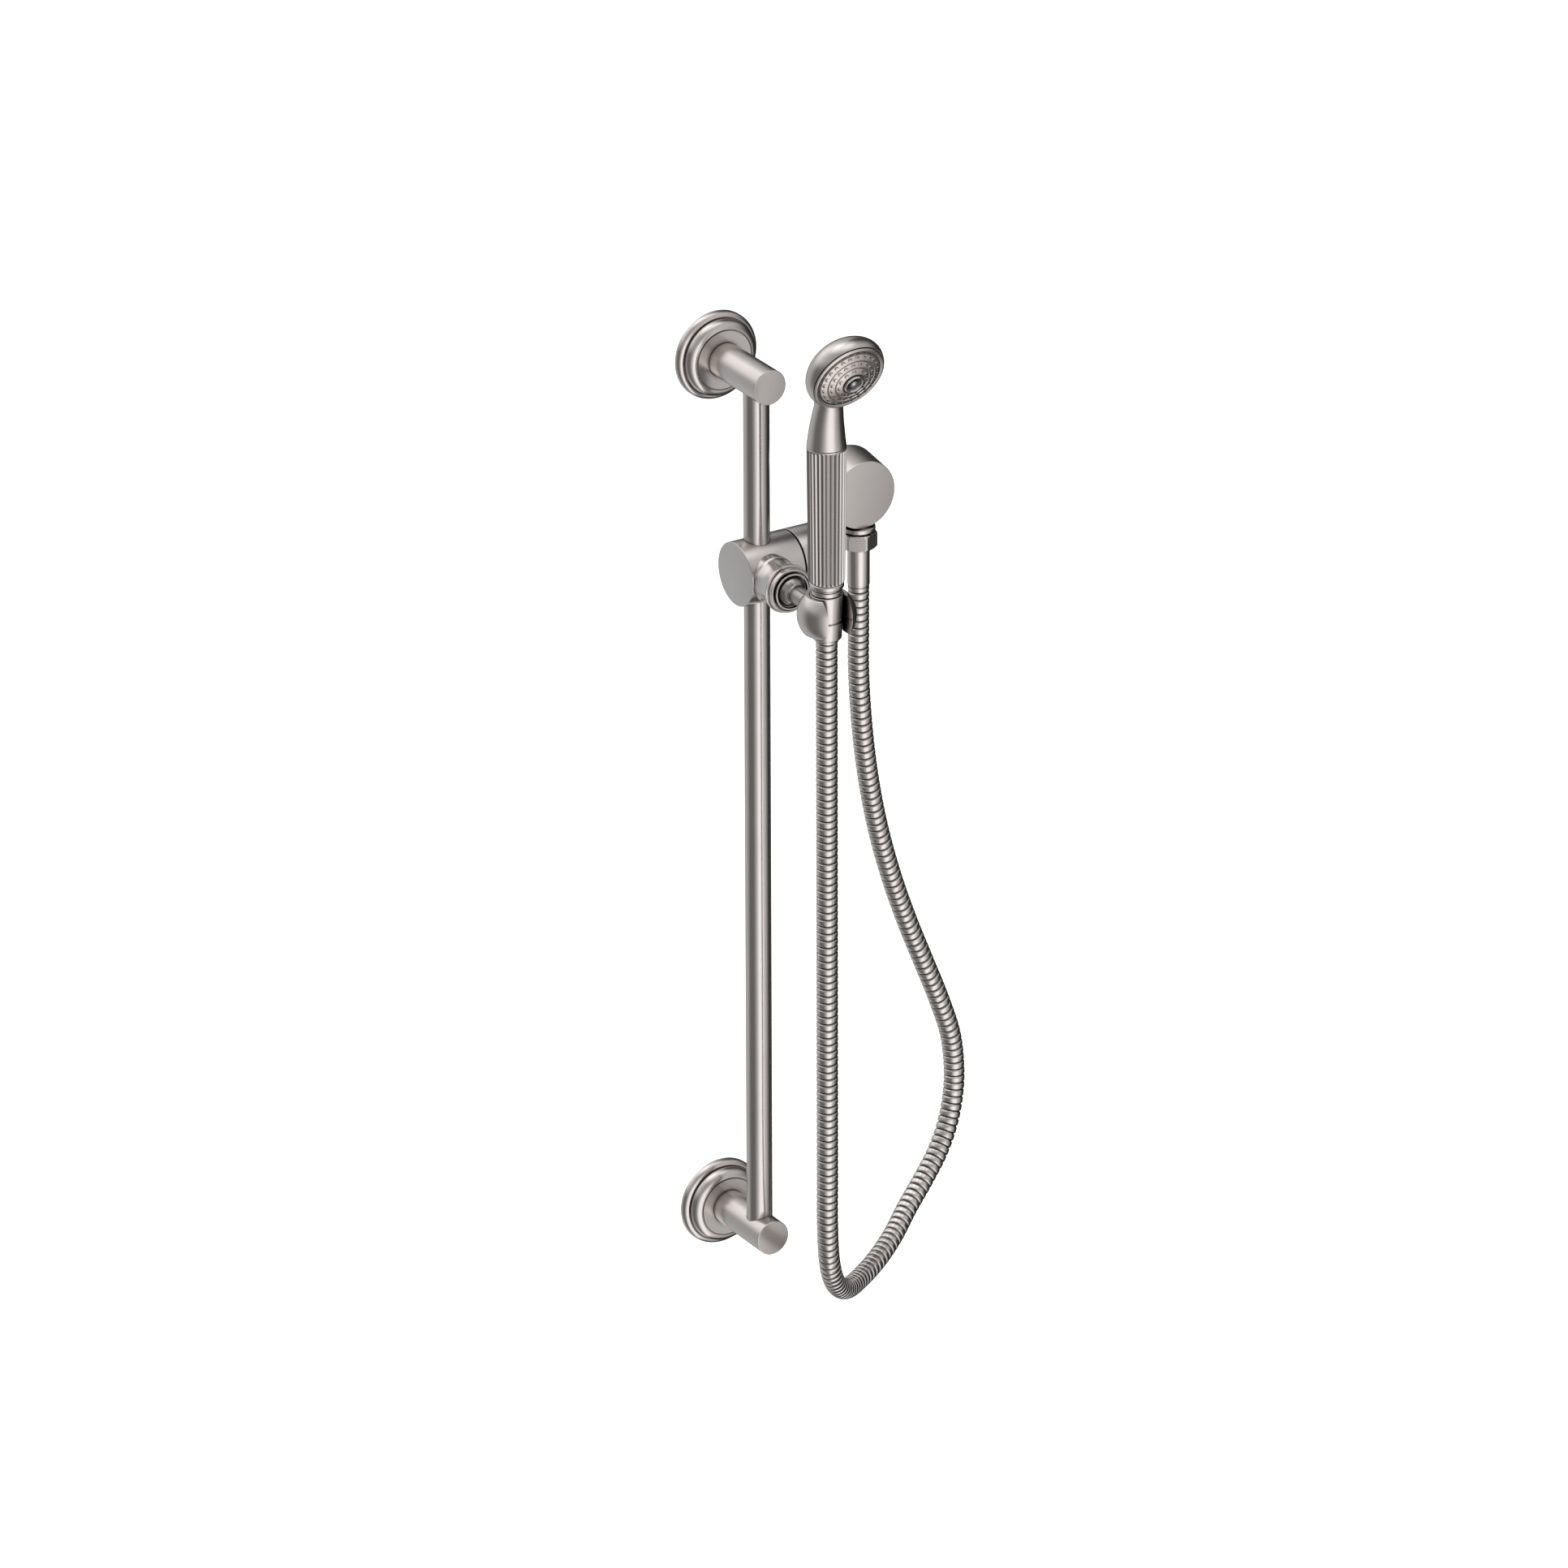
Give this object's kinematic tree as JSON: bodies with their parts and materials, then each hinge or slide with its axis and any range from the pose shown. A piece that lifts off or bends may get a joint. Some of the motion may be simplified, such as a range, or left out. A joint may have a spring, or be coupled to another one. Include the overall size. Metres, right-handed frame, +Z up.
{
  "type": "handheld shower head on a slide bar",
  "caption": "Handheld shower on a wall slide bar, with a clamping slider, a ball-jointed cradle, a lift-off handset, a metal hose and a wall supply elbow, in brushed nickel.",
  "frame": {"origin": "the middle of the lower wall plate's back face, on the wall plane", "axes": "+Z up along the slide bar, +Y into the wall, so the set stands out towards -Y, +X to the right as the user faces the wall"},
  "size_m": [0.2084, 0.175, 0.7219],
  "materials": {
    "brushed_nickel": "satin brushed nickel plate",
    "plain_steel": "plain machined stainless steel",
    "brass": "machined brass",
    "black_acetal": "moulded acetal",
    "white_plastic": "moulded plastic",
    "black_rubber": "moulded rubber",
    "grey_silicone": "moulded silicone"
  },
  "bodies": {
    "wall_set": {"lower_wall_plate": "plain_steel", "lower_plate_screw_left": "plain_steel", "lower_plate_screw_right": "plain_steel", "lower_flange": "brushed_nickel", "lower_post": "brushed_nickel", "lower_set_screw": "plain_steel", "upper_wall_plate": "plain_steel", "upper_plate_screw_left": "plain_steel", "upper_plate_screw_right": "plain_steel", "upper_flange": "brushed_nickel", "upper_post": "brushed_nickel", "upper_set_screw": "plain_steel", "slide_bar": "brushed_nickel", "elbow_body": "brushed_nickel", "inlet_seal": "black_rubber", "elbow_set_screw": "plain_steel", "outlet_nipple": "brushed_nickel", "hose_washer": "black_rubber", "hose_nut": "brushed_nickel", "hose_tail_elbow": "brass", "hose_sleeve": "brushed_nickel", "hose": "brushed_nickel"},
    "carriage": {"slider_liner": "black_acetal"},
    "slider": {"slider_body": "brushed_nickel", "clamp_pad": "black_acetal", "knob_washer": "black_acetal", "swivel_housing": "brushed_nickel", "spring_washer": "plain_steel", "ball_seat": "black_acetal", "ball_retaining_ring": "brushed_nickel"},
    "knob": {"lock_knob": "brushed_nickel", "knob_stud": "plain_steel"},
    "ball": {"ball_stud": "brushed_nickel"},
    "cradle": {"cradle": "brushed_nickel"},
    "hose_end": {"hose_ferrule": "brushed_nickel", "cone_collar": "brushed_nickel", "hose_tail_handset": "brass"},
    "handset": {"cone_nut": "brushed_nickel", "filter_washer": "black_rubber", "inlet_adaptor": "brushed_nickel", "check_valve": "white_plastic", "grip_end_ring": "brushed_nickel", "handle_core": "brass", "grip_sleeve": "brushed_nickel", "head_shell": "brushed_nickel", "face_bezel": "brushed_nickel", "spray_plate": "brushed_nickel", "nozzle_mat": "grey_silicone", "centre_cup": "brushed_nickel", "centre_screw": "plain_steel", "water_distributor": "white_plastic", "head_o_ring": "black_rubber"}
  },
  "joints": [
    {"name": "slider_slide", "type": "slide", "parent": "wall_set", "child": "carriage", "axis": [0, 0, 1], "range_m": [-0.42, 0.08], "deforming": ["hose"]},
    {"name": "slider_turn", "type": "hinge", "parent": "carriage", "child": "slider", "pos_m": [0, -0.0514, 0.4768], "axis": [0, 0, 1], "range_deg": [-35, 35]},
    {"name": "knob_turn", "type": "hinge", "parent": "slider", "child": "knob", "pos_m": [0.03, -0.0514, 0.4768], "axis": [1, 0, 0], "range_deg": [0, 180]},
    {"name": "ball_pitch", "type": "hinge", "parent": "slider", "child": "ball", "pos_m": [0, -0.091, 0.4768], "axis": [1, 0, 0], "range_deg": [-20, 20]},
    {"name": "cradle_roll", "type": "hinge", "parent": "ball", "child": "cradle", "pos_m": [0, -0.091, 0.4768], "axis": [0, 1, 0], "range_deg": [-30, 30]},
    {"name": "handset_lift", "type": "slide", "parent": "cradle", "child": "hose_end", "axis": [0, 0, 1], "range_m": [0, 0.035]},
    {"name": "handset_spin", "type": "hinge", "parent": "hose_end", "child": "handset", "pos_m": [0, -0.137, 0.4768], "axis": [0, 0, 1], "continuous": true}
  ]
}
